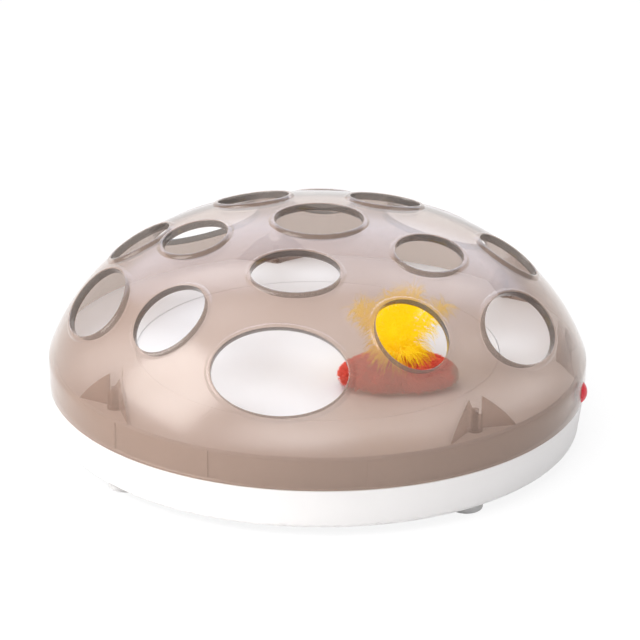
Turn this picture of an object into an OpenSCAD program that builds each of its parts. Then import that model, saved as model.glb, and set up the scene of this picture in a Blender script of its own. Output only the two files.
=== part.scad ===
/* [Cover] */
// Outer radius of the cover's skirt
skirt_r = 125; // [121:0.5:129]
// Height of the skirt's lower edge above the floor
skirt_low_z = 23; // [21:0.5:25]
// Height of the crease between the skirt and the dome
crease_z = 37.2; // [36.6:0.1:37.8]
// Height of the dome's top, without the raised rim of the top hole
dome_top_z = 101.2; // [98:0.2:106]
// Radius of the flatter crown in side view
crown_r = 233; // [215:1:260]
// Radius of the tighter shoulder in side view
shoulder_r = 89; // [84:1:94]
// Wall of the cover
cover_wall = 2.5; // [2:0.1:3]

/* [Paw holes] */
// Azimuths of the five low oval holes, from the front towards the button
low_az = [0, 70, 155, 222, 293];
// Half widths of the low holes, in the same order
low_half_w = [30, 26, 29, 29, 26];
// Half heights of the low holes, in the same order
low_half_h = [20.4, 17.4, 18.5, 18.5, 17];
// Distance of the low holes' centres in from the skirt's outside
low_inset = 21; // [19:0.5:23]
// Azimuths of the five middle holes
mid_az = [35.5, 104.5, 188, 268.5, 324.5];
// Distance of each middle hole's centre in from the skirt's outside
mid_inset = [32.5, 36.5, 32, 40, 31.8];
// Half width of a middle hole
mid_half_w = 16.2; // [14:0.2:17]
// Half height of a middle hole
mid_half_h = [18.4, 15.5, 17, 15.4, 18.6];
// Azimuths of the five upper holes
top_az = [-2, 72, 153.5, 223.5, 286.5];
// Distance of the upper holes' centres from the axis
top_ring_r = [53, 56, 53.5, 55.5, 57];
// Half widths of the upper holes
top_half_w = [20, 19, 16, 16.6, 19];
// Half heights of the upper holes
top_half_h = [16.4, 15, 18, 17.7, 15.2];
// Radius of the hole at the top
pole_hole_r = 20.4; // [18:0.2:22]
// Width of the raised rim round a hole
rim_w = 2.8; // [2:0.1:3.2]
// Height of the raised rim above the dome
rim_h = 1.2; // [0.8:0.1:1.6]

/* [Screw posts] */
// Azimuths of the five screw posts under the cover
post_az = [46, 92.5, 136, 200, 318];
// Distance of the posts in from the skirt's outside
post_inset = 10.5; // [10:0.1:11]
// Radius of a post
post_r = 3.6; // [3.2:0.1:4]
// Thickness of the two thin wings beside each post
wing_t = 1.3; // [1:0.1:1.8]
// Length of a wing, before the dome cuts it
wing_len = 24; // [18:1:28]
// Turn of a wing away from the outward direction
wing_turn = 67; // [60:1:75]
// Radius of the cover screws' shanks
cover_screw_r = 1.45; // [1.2:0.05:1.6]
// Height of the seat that a cover screw's head is driven against
cover_screw_seat_z = 31; // [28:0.5:33]

/* [Base] */
// Height of the base above the floor
ground_gap = 4; // [3:0.5:5]
// Thickness of the base's floor
floor_t = 2.6; // [2.4:0.1:3]
// How far the base's lower edge lies in from the skirt's outside
wall_draft = 2.5; // [1.5:0.5:3]
// Thickness of the upright ring that the cover slips over
ring_t = 1.8; // [1.5:0.1:2.2]
// Azimuths of the notches in that ring
notch_az = [18, 144, 168, 198, 324, 348];
// Width of a notch
notch_w = 6; // [4:0.5:8]
// Depth of a notch
notch_deep = 0.8; // [0.4:0.1:1.2]
// Azimuths of the feet
foot_az = [45, 136, 224, 320];
// Radius of a foot
foot_r = 7.6; // [6.5:0.1:8]
// Depth of the recess that a foot is glued in
foot_recess = 0.8; // [0.5:0.1:1]
// Distance of the feet in from the skirt's outside
foot_inset = 12.5; // [11.5:0.5:14]

/* [Deck and turntable] */
// Thickness of the deck
deck_t = 1.8; // [1.5:0.1:2.2]
// Height of the deck's top above the crease between skirt and dome
deck_rise = 0.2; // [0.1:0.05:0.4]
// Radius of the turntable
turntable_r = 84; // [78:1:90]
// Thickness of the turntable's disc
turntable_t = 2.2; // [2:0.1:2.6]
// Free height under the turntable's disc
turntable_gap = 1; // [0.7:0.1:1.3]

/* [Lure] */
// Distance of the lure from the turntable's axis
lure_r = 58; // [50:1:62]
// Azimuth of the lure as stored
lure_az = 48; // [30:1:60]
// Length of the plush pad
pad_len = 54; // [46:1:56]
// Width of the plush pad
pad_w = 27; // [22:1:30]
// Height of the plush pad
pad_h = 15.5; // [12:0.5:17]
// Height of the feather tuft above the pad
tuft_h = 30; // [22:1:31]
// Radius of the feather tuft
tuft_r = 16; // [12:0.5:17]

/* [Gear train] */
// Tooth module of all the gears
tooth_module = 0.8; // [0.76:0.01:0.82]
// Teeth of the motor's pinion
motor_teeth = 10; // [10:1:10]
// Teeth of the small gears under the first and second wheels
pinion_teeth = 12; // [12:1:12]
// Teeth of the first and second wheels
wheel_teeth = 40; // [38:2:40]
// Teeth of the wheel on the turntable's shaft
output_teeth = 48; // [46:2:48]
// Face width of a gear
gear_t = 3; // [2.4:0.1:3.2]
// Free height between gears one above the other
level_gap = 1.3; // [1:0.1:1.5]
// Radius of the turntable's shaft
shaft_r = 3.5; // [3:0.1:4]
// Radius of the pins that the first and second gears turn on
pin_r = 1; // [0.8:0.1:1.2]
// Radius of the motor's can
motor_r = 12.2; // [11:0.1:12.2]
// Height of the motor's can
motor_h = 12.3; // [11.5:0.1:12.5]
// Wall of the gearbox
gearbox_wall = 1.6; // [1.4:0.1:2]

/* [Batteries] */
// Diameter of an AA cell
cell_d = 14.5; // [14.5:0.1:14.5]
// Length of an AA cell over its cap
cell_len = 50.5; // [50.5:0.1:50.5]
// Free width between neighbouring cells
cell_gap = 0.6; // [0.4:0.1:1]
// Length of a contact spring as fitted
spring_len = 6.6; // [5:0.2:8]
// Distance of the battery bay's centre from the turntable's axis
bay_x = 54; // [52:1:58]
// Thickness of the battery door
door_t = 1.4; // [1.2:0.1:1.5]

/* [Power button] */
// Azimuth of the button, from the front
button_az = 86; // [84:0.5:88]
// Height of the button's axis
button_z = 28.2; // [27.5:0.1:29]
// Radius of the button
button_r = 4.6; // [4:0.1:5]
// Radius of the button's neck, where it passes through the base's ring
neck_r = 2.2; // [1.8:0.1:2.3]
// How far the button stands out of the skirt
button_out = 2; // [1.5:0.1:2.6]
// Travel of the button
button_travel = 1; // [0.6:0.1:1.2]

/* [Hidden] */
$fn = 96;

// Clearances
fit_gap = 0.3;      // between parts that don't rub
run_gap = 0.05;     // radial, in a bearing
seat_gap = 0.02;    // radial, round a pressed pin or a screw
eps = 0.01;

// Colours
smoke = [0.62, 0.55, 0.5, 0.45];
ivory = [0.95, 0.94, 0.92];
steel = [0.75, 0.76, 0.78];
nylon = [0.9, 0.9, 0.86];

// The dome's section is two tangent arcs, from the axis to the crease
crown_cz = dome_top_z - crown_r;
arc_arm = crown_r - shoulder_r;
crease_arm = norm([skirt_r, crease_z - crown_cz]);
shoulder_turn = atan2(skirt_r, crease_z - crown_cz)
    - acos((pow(crease_arm, 2) + pow(arc_arm, 2) - pow(shoulder_r, 2)) / (2 * crease_arm * arc_arm));
shoulder_cx = arc_arm * sin(shoulder_turn);
shoulder_cz = crown_cz + arc_arm * cos(shoulder_turn);
function on_crown(r) = r < crown_r * sin(shoulder_turn);
function dome_z(r, grow = 0) = on_crown(r)
    ? crown_cz + sqrt(pow(crown_r + grow, 2) - r * r)
    : shoulder_cz + sqrt(pow(shoulder_r + grow, 2) - pow(r - shoulder_cx, 2));
function dome_slope(r) = on_crown(r) ? asin(r / crown_r) : asin((r - shoulder_cx) / shoulder_r);
function dome_inner_r(z) = shoulder_cx
    + sqrt(pow(shoulder_r - cover_wall, 2) - pow(z - shoulder_cz, 2));
function arc_border_x(z) = (z - crown_cz) * tan(shoulder_turn);

// Heights from the floor up
floor_z = ground_gap + floor_t;
deck_top = crease_z + deck_rise;
deck_low = deck_top - deck_t;
disc_low = deck_top - turntable_t;
well_top = disc_low - turntable_gap;
well_low = well_top - deck_t;
housing_low = floor_z + 1.4;
housing_floor = housing_low + gearbox_wall;
motor_top = housing_floor + motor_h;
motor_neck = 0.6;
level_1 = motor_top + motor_neck + 0.4;
level_2 = level_1 - level_gap - gear_t;
level_3 = level_2 - level_gap - gear_t;
lid_low = level_1 + gear_t + 0.7;
lid_top = lid_low + gearbox_wall;

// Radii in the base
ring_r = skirt_r - cover_wall - fit_gap;
inner_r = ring_r - ring_t;
deck_r = dome_inner_r(deck_top) - fit_gap;
post_ring_r = skirt_r - post_inset;
foot_ring_r = skirt_r - foot_inset;
column_r = post_r + 0.9;
well_r = turntable_r + 0.8;
rib_len = 6;
rib_t = 1.4;
rib_h = 6;

// Gear centres: each pair stands at the sum of its pitch radii
mesh_1 = tooth_module * (motor_teeth + wheel_teeth) / 2;
mesh_2 = tooth_module * (pinion_teeth + wheel_teeth) / 2;
mesh_3 = tooth_module * (pinion_teeth + output_teeth) / 2;
turn_3 = 180;
turn_2 = 230;
turn_1 = 300;
second_at = mesh_3 * [cos(turn_3), sin(turn_3)];
first_at = second_at + mesh_2 * [cos(turn_2), sin(turn_2)];
motor_at = first_at + mesh_1 * [cos(turn_1), sin(turn_1)];
wheel_room = tooth_module * (wheel_teeth / 2 + 1) + 1.4;
output_room = tooth_module * (output_teeth / 2 + 1) + 1.4;
gearbox_rooms = [
    [[0, 0], output_room], [second_at, wheel_room], [first_at, wheel_room], [motor_at, motor_r + 0.3]
];
ear_r = 4.2;
boss_r = 3.2;
ear_out = boss_r + fit_gap;
ear_at = [
    (output_room + gearbox_wall + ear_out) * [cos(62), sin(62)],
    (output_room + gearbox_wall + ear_out) * [cos(-62), sin(-62)],
    second_at + (wheel_room + gearbox_wall + ear_out) * [cos(100), sin(100)],
    first_at + (wheel_room + gearbox_wall + ear_out) * [cos(180), sin(180)]
];
ear_t = 2;
box_screw_r = 1.3;
pressure = 20;
backlash = 0.16;
profile_shift = 0.4;

// Hub under the turntable and the flat on its shaft
hub_r = 6.2;
hub_low = lid_top + 1.4;
shaft_top = disc_low - 0.8;
shaft_flat = 1;

// Battery bay
cell_pitch = cell_d + cell_gap;
cell_z = floor_z + 0.4 + cell_d / 2;
bay_w = 3 * cell_pitch + 1.2;
plate_t = 0.5;
tab_t = 0.5;
tab_z = 11.6;
bay_len = cell_len + spring_len + 2 * plate_t + 1;
bay_roof_z = cell_z + cell_d / 2 + 0.8;
bay_wall = 1.6;
door_screw_y = bay_len / 2 + bay_wall + 3.2;
door_w = bay_w + 4;
door_len = 2 * door_screw_y + 7.4;
door_head_sink = 0.7;

// Button, switch and board, as distances from the axis along the button's azimuth
board_t = 1.6;
board_w = 24;
switch_w = 6;
switch_t = 3.5;
board_face = skirt_r - 16.9;
plunger_r = 1.7;
plunger_tip = board_face + switch_t + 2.1;
flange_r = button_r + 1.6;
flange_face = inner_r - fit_gap;
board_top_z = deck_low - 2;

// Lure
lure_at = lure_r * [sin(lure_az), -cos(lure_az)];
plug_r = 4;
plug_flange_t = 1.2;
pad_low = deck_top + plug_flange_t + fit_gap;
pad_turn = 12;
tuft_lean = [-0.16, 0.6, 1];

// Route of the leads, chosen by hand between what they join: out of the bay's ends, round
// its outer corner, and up the lane between the bay and the board
bay_end = bay_len / 2;
bay_side = bay_x + bay_w / 2 + bay_wall;
lane_x = (bay_side + board_face) / 2;
lead_z = floor_z + 1.6;
red_battery_route = [
    [bay_x + cell_pitch, bay_end + 2.6, 12], [bay_x + cell_pitch, bay_end + 7, 11],
    [bay_side + 3, bay_end + 8.5, lead_z], [lane_x - 1.5, 20, lead_z], [board_face - 8, 2, lead_z + 0.4],
    [board_face - 4.7, -2, 12], [board_face - 1.9, -2.2, 12]
];
black_battery_route = [
    [bay_x - cell_pitch, -bay_end - 2.6, 12], [bay_x - cell_pitch, -bay_end - 7, 11],
    [bay_x - 6, -bay_end - 14.5, lead_z], [bay_side - 1, -bay_end - 12.5, lead_z],
    [lane_x - 1.5, -28, lead_z], [board_face - 9, -14, lead_z + 0.8], [board_face - 5, -10, 12],
    [board_face - 2.4, -10, 12]
];
red_motor_route = [
    [motor_at.x + 3, motor_at.y - 13.9, 12.5], [motor_at.x + 6, motor_at.y - 17, 9.5],
    [0, -bay_end - 22.5, lead_z], [bay_x - 4, -bay_end - 24.5, lead_z], [bay_side + 5, -bay_end - 16.5, lead_z],
    [board_face - 11.2, -26, lead_z + 2.4], [board_face - 6, -13, 14], [board_face - 2.6, -12.5, 14]
];
black_motor_route = [
    [motor_at.x - 3, motor_at.y - 13.9, 12.5], [motor_at.x - 1, motor_at.y - 19, 9.5],
    [0, -bay_end - 26, lead_z], [bay_x - 2, -bay_end - 28, lead_z], [bay_side + 9, -bay_end - 18.5, lead_z],
    [board_face - 8.6, -27.6, lead_z + 2.4], [board_face - 6, -16, 14], [board_face - 2.7, -15.2, 14]
];

// Puts its children on the cover's axis line at an azimuth, with outward along -Y
module at_azimuth(az, r = 0) {
    rotate([0, 0, az]) translate([0, -r, 0]) children();
}

// A round rod along the outward direction, from one distance to another
module radial_rod(from_r, to_r, r, z) {
    translate([0, -from_r, z]) rotate([90, 0, 0]) cylinder(h = to_r - from_r, r = r);
}

module ring(outer, inner, low, high) {
    translate([0, 0, low]) difference() {
        cylinder(h = high - low, r = outer);
        translate([0, 0, -eps]) cylinder(h = high - low + 2 * eps, r = inner);
    }
}

// What lies under the dome's surface in section, with the surface moved out by grow
module dome_fill(grow, low) {
    high = dome_top_z + 20;
    far = skirt_r + 20;
    intersection() {
        translate([0, crown_cz]) circle(crown_r + grow);
        polygon([[0, low], [arc_border_x(low), low], [arc_border_x(high), high], [0, high]]);
    }
    intersection() {
        translate([shoulder_cx, shoulder_cz]) circle(shoulder_r + grow);
        polygon([[arc_border_x(low), low], [far, low], [far, high], [arc_border_x(high), high]]);
    }
}

// The cover's section within the skirt's radius: the arcs meet the skirt's line at the crease
module cover_fill(grow, low) {
    intersection() {
        dome_fill(grow, low);
        translate([0, low]) square([skirt_r + grow, dome_top_z]);
    }
}

// An oval prism square to the dome, through its wall
module paw_prism(az, r, half_w, half_h) {
    at_azimuth(az, r) translate([0, 0, dome_z(r)]) rotate([dome_slope(r), 0, 0])
        linear_extrude(height = 24, center = true) scale([half_w, half_h]) circle(1);
}

module paw_prisms(grow = 0) {
    for (i = [0:4]) {
        paw_prism(low_az[i], skirt_r - low_inset, low_half_w[i] + grow, low_half_h[i] + grow);
        paw_prism(mid_az[i], skirt_r - mid_inset[i], mid_half_w + grow, mid_half_h[i] + grow);
        paw_prism(top_az[i], top_ring_r[i], top_half_w[i] + grow, top_half_h[i] + grow);
    }
    translate([0, 0, dome_top_z - 12]) cylinder(h = 24, r = pole_hole_r + grow);
}

// A screw post with two thin wings that run out to the dome's wall, in plan
module post_plan() {
    circle(post_r);
    for (side = [-1, 1])
        translate([0, post_r - wing_t]) rotate(-90 + side * wing_turn) translate([0, -wing_t / 2])
            square([wing_len, wing_t]);
}

module cover_posts() {
    intersection() {
        for (az = post_az)
            at_azimuth(az, post_ring_r) translate([0, 0, deck_top]) linear_extrude(height = 40) post_plan();
        rotate_extrude() dome_fill(-cover_wall / 2, deck_top - 1);
    }
}

// The slot in the skirt's lower edge, so that the cover drops down over the button
module button_slot() {
    free = button_r + fit_gap;
    at_azimuth(button_az) translate([0, -ring_r, button_z]) rotate([90, 0, 0])
        linear_extrude(height = skirt_r + 1 - ring_r) {
            circle(free);
            translate([-free, skirt_low_z - 1 - button_z]) square([2 * free, button_z + 1 - skirt_low_z]);
        }
}

module dome_cover() {
    color(smoke) difference() {
        union() {
            rotate_extrude() difference() {
                cover_fill(0, skirt_low_z);
                cover_fill(-cover_wall, skirt_low_z - 1);
            }
            intersection() {
                rotate_extrude() difference() {
                    dome_fill(rim_h, crease_z);
                    dome_fill(-cover_wall / 2, crease_z - 1);
                }
                paw_prisms(rim_w);
            }
            cover_posts();
        }
        paw_prisms();
        for (az = post_az)
            at_azimuth(az, post_ring_r) translate([0, 0, deck_top - 1])
                cylinder(h = 11, r = cover_screw_r + seat_gap);
        button_slot();
    }
}

// The base's section: outer wall, floor and the upright ring
module tray_section() {
    foot_x = skirt_r - wall_draft;
    shelf_x = skirt_r - 0.5;
    edge = 2;
    difference() {
        union() {
            polygon([
                [0, ground_gap], [foot_x - edge, ground_gap], [foot_x, ground_gap + edge],
                [shelf_x, skirt_low_z - fit_gap], [ring_r, skirt_low_z - fit_gap],
                [ring_r, deck_low], [0, deck_low]
            ]);
            translate([foot_x - edge, ground_gap + edge]) circle(edge);
        }
        translate([-1, floor_z]) square([inner_r + 1, deck_low]);
    }
}

// A tall hollow column that a cover screw goes up through
module tray_column() {
    difference() {
        translate([0, 0, floor_z - eps]) cylinder(h = deck_low - floor_z + eps, r = column_r);
        translate([0, 0, floor_z - 1]) cylinder(h = cover_screw_seat_z - floor_z + 1, r = column_r - 1.3);
        translate([0, 0, floor_z - 1]) cylinder(h = 40, r = cover_screw_r + fit_gap);
    }
}

module screw_boss(r, low, high, hole_r, depth) {
    translate([0, 0, low]) difference() {
        cylinder(h = high - low, r = r);
        translate([0, 0, high - low - depth]) cylinder(h = depth + 1, r = hole_r);
    }
}

// The walls and roof of the battery bay, open to below
module battery_box() {
    translate([bay_x, 0, 0]) difference() {
        translate([-bay_w / 2 - bay_wall, -bay_len / 2 - bay_wall, floor_z - eps])
            cube([bay_w + 2 * bay_wall, bay_len + 2 * bay_wall, bay_roof_z + bay_wall - floor_z]);
        translate([-bay_w / 2, -bay_len / 2, floor_z - 1])
            cube([bay_w, bay_len, bay_roof_z - floor_z + 1]);
    }
}

// Two posts with slots that the circuit board stands in
module board_rails() {
    at_azimuth(button_az) for (side = [-1, 1]) difference() {
        translate([side * (board_w / 2 + 0.4) - 2, -board_face - 2.2, floor_z - eps])
            cube([4, board_t + 4.4, 20]);
        translate([-board_w / 2 - fit_gap, -board_face - 0.1, floor_z - 1])
            cube([board_w + 2 * fit_gap, board_t + 0.2, 40]);
    }
}

module base_tray() {
    color(ivory) difference() {
        union() {
            rotate_extrude() tray_section();
            for (az = post_az) at_azimuth(az, post_ring_r) tray_column();
            battery_box();
            board_rails();
            for (at = ear_at) translate([at.x, at.y, 0])
                screw_boss(boss_r, floor_z - eps, lid_low - ear_t, box_screw_r - 0.2, 12);
            for (side = [-1, 1]) translate([bay_x, side * door_screw_y, 0])
                screw_boss(3, floor_z - eps, floor_z + 9, 0.1, 0.1);
            for (az = [20 : 40 : 340]) at_azimuth(az, inner_r) stiffening_rib();
        }
        for (az = post_az) at_azimuth(az, post_ring_r)
            translate([0, 0, ground_gap - 1]) cylinder(h = floor_t + 2, r = column_r - 1.3);
        for (az = foot_az) at_azimuth(az, foot_ring_r)
            translate([0, 0, ground_gap - 1]) cylinder(h = foot_recess + 1, r = foot_r + 0.1);
        for (az = notch_az) at_azimuth(az)
            translate([-notch_w / 2, -ring_r - 1, skirt_low_z]) cube([notch_w, notch_deep + 1, 20]);
        at_azimuth(button_az) {
            radial_rod(inner_r - 2, ring_r + 1, neck_r + fit_gap, button_z);
            translate([-neck_r - fit_gap, -ring_r - 1, button_z])
                cube([2 * (neck_r + fit_gap), ring_r - inner_r + 3, 20]);
        }
        translate([bay_x - bay_w / 2, -bay_len / 2, ground_gap - 1]) cube([bay_w, bay_len, floor_t + 2]);
        translate([bay_x - door_w / 2 - 0.2, -door_len / 2 - 0.2, ground_gap - 1])
            cube([door_w + 0.4, door_len + 0.4, door_t + 1]);
        for (side = [-1, 1]) translate([bay_x, side * door_screw_y, ground_gap - 1])
            cylinder(h = 10, r = box_screw_r - 0.1);
        for (end = [-1, 1])
            translate([bay_x + end * cell_pitch - 1.7, end * (bay_len + bay_wall) / 2 - 2, tab_z - 0.2])
                cube([3.4, 4, tab_t + 0.4]);
    }
}

// A low rib from the base's wall towards the middle
module stiffening_rib() {
    translate([-rib_t / 2, -0.5, floor_z - eps]) cube([rib_t, rib_len + 0.5, rib_h]);
}

module deck() {
    color(ivory) difference() {
        union() {
            ring(deck_r, well_r, deck_low, deck_top);
            ring(well_r + deck_t, well_r, well_low, deck_top);
            ring(well_r + deck_t, hub_r + 0.8, well_low, well_top);
        }
        for (az = post_az) at_azimuth(az, post_ring_r)
            translate([0, 0, deck_low - 1]) cylinder(h = deck_t + 2, r = cover_screw_r + fit_gap);
    }
}

module turntable() {
    color(ivory) difference() {
        union() {
            translate([0, 0, disc_low]) cylinder(h = turntable_t, r = turntable_r);
            translate([0, 0, hub_low]) cylinder(h = disc_low - hub_low + 0.1, r = hub_r);
        }
        translate([0, 0, hub_low - 1]) intersection() {
            cylinder(h = shaft_top - hub_low + 1, r = shaft_r + seat_gap);
            translate([-shaft_r - 1, -shaft_r - 1, 0])
                cube([2 * shaft_r + 1 - shaft_flat + seat_gap, 2 * shaft_r + 2, 20]);
        }
        translate([lure_at.x, lure_at.y, disc_low - 1]) cylinder(h = turntable_t + 2, r = plug_r + run_gap);
    }
}

// The plug that snaps into the turntable and carries the lure
module lure_plug() {
    color(ivory) translate([lure_at.x, lure_at.y, 0]) {
        translate([0, 0, disc_low - 0.5]) cylinder(h = turntable_t + 0.6, r = plug_r);
        translate([0, 0, deck_top]) cylinder(h = plug_flange_t, r = 9);
        translate([0, 0, deck_top]) cylinder(h = plug_flange_t + 8, r = 1.5);
    }
}

module lure_pad() {
    color("indianred") translate([lure_at.x, lure_at.y, pad_low]) difference() {
        rotate(pad_turn) hull() {
            translate([0, 0, pad_h / 2]) scale([pad_len * 0.38, pad_w / 2, pad_h / 2])
                sphere(1, $fn = 28);
            for (side = [-1, 1])
                translate([side * pad_len * 0.3, 0, pad_h * 0.45])
                    scale([pad_len * 0.2, pad_w * 0.36, pad_h * 0.4]) sphere(1, $fn = 20);
            translate([0, 0, 0.5]) cylinder(h = 1, r = pad_w * 0.36, center = true, $fn = 28);
        }
        translate([0, 0, -1]) cylinder(h = 9.8, r = 1.5 + fit_gap);
    }
}

// The marabou tuft leans back from the pad towards the turntable's middle
module lure_feathers() {
    color("gold") translate([lure_at.x, lure_at.y, pad_low + pad_h + fit_gap]) hull() {
        translate([0, 0, 4]) sphere(4, $fn = 20);
        translate(tuft_lean * (tuft_h * 0.35) + [0, 0, 2]) scale([1, 0.8, 0.75]) sphere(tuft_r, $fn = 28);
        translate([tuft_lean.x, tuft_lean.y, 0] * tuft_h * 0.7 + [0, 0, tuft_h - 7]) sphere(7, $fn = 24);
    }
}

// Half of a tooth's angle at radius r, for a gear whose tooth thickness is moved by shift
function involute(a) = tan(a) * 180 / PI - a;
function half_tooth(r, teeth, shift, base_r) =
    (90 + (2 * shift * tan(pressure) - backlash / tooth_module) * 180 / PI) / teeth
    + involute(pressure) - involute(acos(min(1, base_r / r)));

// Involute teeth, with one tooth centred on the direction of turn
module gear_plan(teeth, shift, turn) {
    base_r = tooth_module * teeth / 2 * cos(pressure);
    root_r = tooth_module * (teeth / 2 - 1.25 + shift);
    tip_r = tooth_module * (teeth / 2 + 1 + shift);
    from_r = max(base_r, root_r);
    steps = 3;
    flank = [for (i = [0:steps]) let(r = from_r + (tip_r - from_r) * i / steps)
        [r, half_tooth(r, teeth, shift, base_r)]];
    side = concat(root_r < base_r ? [[root_r, flank[0][1]]] : [], flank);
    n = len(side);
    polygon([for (k = [0:teeth - 1], j = [0:2 * n - 1])
        let(p = j < n ? side[j] : side[2 * n - 1 - j],
            a = turn + 360 * k / teeth + (j < n ? -p[1] : p[1]))
        p[0] * [cos(a), sin(a)]]);
}

// A wheel with a thinner web, over or under the small gear that it turns
module wheel(teeth, turn) {
    web_out = tooth_module * teeth / 2 - 3.2;
    difference() {
        linear_extrude(height = gear_t) gear_plan(teeth, -profile_shift, turn);
        for (z = [-1, gear_t - 0.7]) translate([0, 0, z]) difference() {
            cylinder(h = 1.7, r = web_out);
            translate([0, 0, -1]) cylinder(h = 4, r = 7);
        }
    }
}

// A wheel with a small gear under it, turning on a pin
module compound_gear(at, wheel_turn, small_turn, wheel_low, small_low) {
    color(nylon) translate([at.x, at.y, 0]) difference() {
        union() {
            translate([0, 0, wheel_low]) wheel(wheel_teeth, wheel_turn);
            translate([0, 0, small_low - 0.2]) linear_extrude(height = wheel_low - small_low + 0.3)
                gear_plan(pinion_teeth, profile_shift, small_turn);
            translate([0, 0, wheel_low + gear_t - eps]) cylinder(h = 0.3 + eps, r = 2);
        }
        translate([0, 0, small_low - 1]) cylinder(h = 20, r = pin_r + run_gap);
    }
}

// Each small gear has a tooth on the line of centres, and its wheel a gap there
module first_gear() {
    compound_gear(first_at, turn_1 + 180 / wheel_teeth, turn_2 + 180, level_1, level_2);
}

module second_gear() {
    compound_gear(second_at, turn_2 + 180 / wheel_teeth, turn_3 + 180, level_2, level_3);
}

module output_gear() {
    color(nylon) {
        translate([0, 0, level_3]) wheel(output_teeth, turn_3 + 180 / output_teeth);
        translate([0, 0, level_3 + gear_t - eps]) cylinder(h = hub_low - level_3 - gear_t, r = shaft_r);
        translate([0, 0, hub_low - fit_gap]) intersection() {
            cylinder(h = shaft_top - hub_low, r = shaft_r);
            translate([-shaft_r - 1, -shaft_r - 1, 0]) cube([2 * shaft_r + 1 - shaft_flat, 2 * shaft_r + 2, 20]);
        }
        translate([0, 0, housing_floor + 0.6]) cylinder(h = level_3 - housing_floor, r = 2);
    }
}

module motor_pinion() {
    color("goldenrod") translate([motor_at.x, motor_at.y, level_1 - 0.2]) difference() {
        linear_extrude(height = gear_t + 0.4) gear_plan(motor_teeth, profile_shift, turn_1 + 180);
        translate([0, 0, -1]) cylinder(h = 20, r = pin_r + seat_gap);
    }
}

module motor_shaft() {
    color(steel) translate([motor_at.x, motor_at.y, housing_floor + 0.5])
        cylinder(h = level_1 + gear_t + 0.3 - housing_floor - 0.5, r = pin_r);
}

// The motor's can, with its neck, its end cap's step and two terminals
module motor() {
    color(steel) translate([motor_at.x, motor_at.y, housing_floor]) difference() {
        union() {
            cylinder(h = 2, r = motor_r - 0.8);
            translate([0, 0, 2]) cylinder(h = motor_h - 2, r = motor_r);
            translate([0, 0, motor_h - eps]) cylinder(h = motor_neck + eps, r = 3);
            for (side = [-1, 1]) translate([side * 3 - 0.9, -motor_r - 1.1, 2.6]) cube([1.8, 3, 0.4]);
        }
        translate([0, 0, 0.3]) cylinder(h = 30, r = pin_r + run_gap);
    }
}

module gearbox_plan(grow) {
    for (room = gearbox_rooms) translate(room[0]) circle(room[1] + grow);
}

// Ears beside the gearbox, each with its neck to the wall
module gearbox_ears() {
    for (at = ear_at) translate(at) circle(ear_r);
}

module ear_holes(r, low, high) {
    for (at = ear_at) translate([at.x, at.y, low]) cylinder(h = high - low, r = r);
}

module gearbox_housing() {
    color([0.86, 0.87, 0.88]) difference() {
        union() {
            translate([0, 0, housing_low]) linear_extrude(height = gearbox_wall) gearbox_plan(gearbox_wall);
            translate([0, 0, housing_low]) linear_extrude(height = lid_low - housing_low) difference() {
                gearbox_plan(gearbox_wall);
                gearbox_plan(0);
            }
            translate([0, 0, lid_low - ear_t]) linear_extrude(height = ear_t) difference() {
                gearbox_ears();
                gearbox_plan(0);
            }
            translate([0, 0, housing_floor - eps]) {
                cylinder(h = level_3 - housing_floor - fit_gap, r = 3.4);
                translate([second_at.x, second_at.y, 0])
                    cylinder(h = level_3 - housing_floor - 0.2 - fit_gap, r = 3);
                translate([first_at.x, first_at.y, 0])
                    cylinder(h = level_2 - housing_floor - 0.2 - fit_gap, r = 3);
            }
            for (a = [-35, 215]) translate([motor_at.x, motor_at.y, housing_floor - eps])
                rotate(a) translate([motor_r + fit_gap, -1, 0]) cube([3, 2, 6]);
        }
        translate([0, 0, housing_floor + 0.3]) cylinder(h = 20, r = 2 + run_gap);
        for (at = [first_at, second_at]) translate([at.x, at.y, housing_floor])
            cylinder(h = 20, r = pin_r + seat_gap);
        translate([motor_at.x - 5, motor_at.y - motor_r - 4, housing_floor + 1]) cube([10, 6, 4]);
        ear_holes(box_screw_r + 0.1, lid_low - ear_t - 1, lid_low + 1);
    }
}

// The gearbox's lid, with the bush that the turntable's shaft turns in
module gearbox_cover() {
    color([0.86, 0.87, 0.88]) difference() {
        union() {
            translate([0, 0, lid_low]) linear_extrude(height = gearbox_wall) {
                gearbox_plan(gearbox_wall);
                gearbox_ears();
            }
            translate([0, 0, lid_top - eps]) cylinder(h = hub_low - lid_top - fit_gap, r = shaft_r + 1.6);
        }
        translate([0, 0, lid_low - 1]) cylinder(h = 20, r = shaft_r + run_gap);
        for (at = [first_at, second_at]) translate([at.x, at.y, lid_low - 1])
            cylinder(h = 20, r = pin_r + seat_gap);
        ear_holes(box_screw_r + 0.1, lid_low - 1, lid_top + 1);
    }
}

module gear_pins() {
    color(steel) {
        translate([first_at.x, first_at.y, housing_floor]) cylinder(h = lid_top - housing_floor, r = pin_r);
        translate([second_at.x, second_at.y, housing_floor]) cylinder(h = lid_top - housing_floor, r = pin_r);
    }
}

// A pan-head screw that points along +Z, with the head's underside at the origin
module screw_up(shank_r, length, head_r, head_h) {
    difference() {
        union() {
            cylinder(h = length, r = shank_r);
            translate([0, 0, -head_h]) cylinder(h = head_h, r = head_r);
        }
        for (a = [0, 90]) translate([0, 0, -head_h - 1]) rotate(a) translate([-head_r * 0.6, -0.3, 0])
            cube([head_r * 1.2, 0.6, head_h * 0.6 + 1]);
    }
}

module gearbox_screws() {
    color(steel) for (at = ear_at) translate([at.x, at.y, lid_top]) mirror([0, 0, 1])
        screw_up(box_screw_r - 0.22, 12, 2.4, 1.6);
}

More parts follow.
